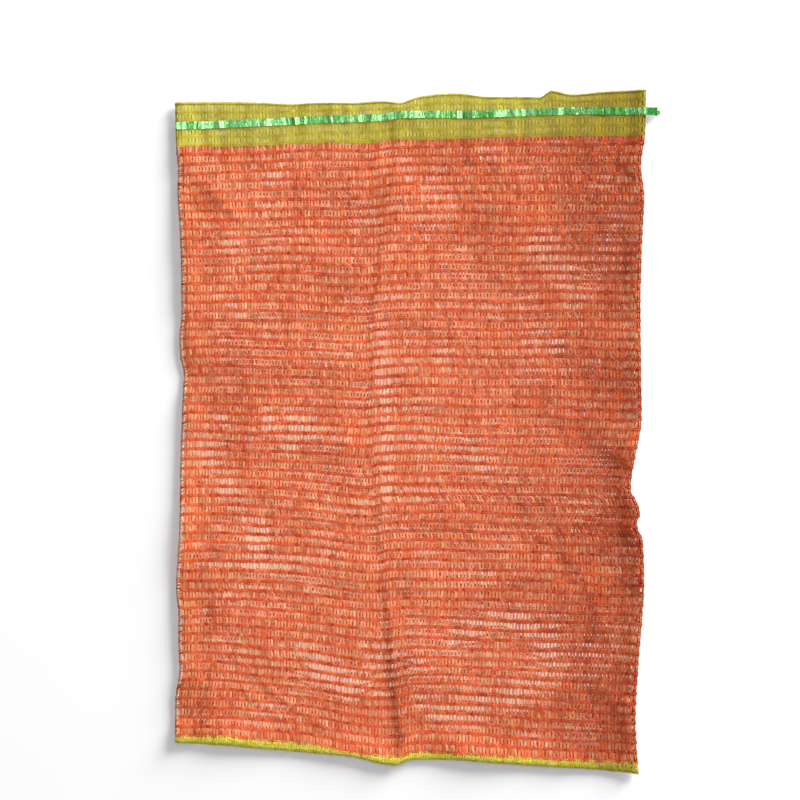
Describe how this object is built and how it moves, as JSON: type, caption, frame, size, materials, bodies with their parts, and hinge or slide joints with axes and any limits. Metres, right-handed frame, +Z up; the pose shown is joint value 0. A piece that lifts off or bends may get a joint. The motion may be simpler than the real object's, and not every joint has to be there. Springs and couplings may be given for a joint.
{
  "type": "mesh produce bag",
  "caption": "Flat knitted mesh produce sack with a mouth band, a flat tape drawstring threaded through it, and a sewn bottom hem.",
  "frame": {"origin": "centre of the footprint, drawstring tails included, on the floor that the bag lies on", "axes": "+X across the bag towards the drawstring tails, +Y along the bag from the hem to the mouth, +Z up out of the front layer"},
  "size_m": [0.5219, 0.7342, 0.008],
  "materials": {
    "orange_net": "satin",
    "yellow_band": "satin",
    "yellow_hem": "satin",
    "green_tape": "gloss",
    "sewing_thread": "matte"
  },
  "bodies": {
    "bag": {"front_body_net": "orange_net", "back_body_net": "orange_net", "right_side_fold": "orange_net", "left_seam_allowance": "orange_net", "front_band_upper": "yellow_band", "front_band_lower": "yellow_band", "back_band_upper": "yellow_band", "back_band_lower": "yellow_band", "left_band_fold_upper": "yellow_band", "left_band_fold_lower": "yellow_band", "right_band_fold": "yellow_band", "front_tape_loops": "yellow_band", "back_tape_loops": "yellow_band", "front_hem": "yellow_hem", "back_hem": "yellow_hem", "hem_seam_thread": "sewing_thread", "side_seam_thread": "sewing_thread"},
    "drawstring": {"drawstring_front_run": "green_tape", "drawstring_back_run": "green_tape", "drawstring_left_bend": "green_tape"}
  },
  "joints": [
    {"name": "drawstring_pull", "type": "slide", "parent": "bag", "child": "drawstring", "axis": [0.9995, 0.0313, 0], "range_m": [0, 0.2]}
  ]
}
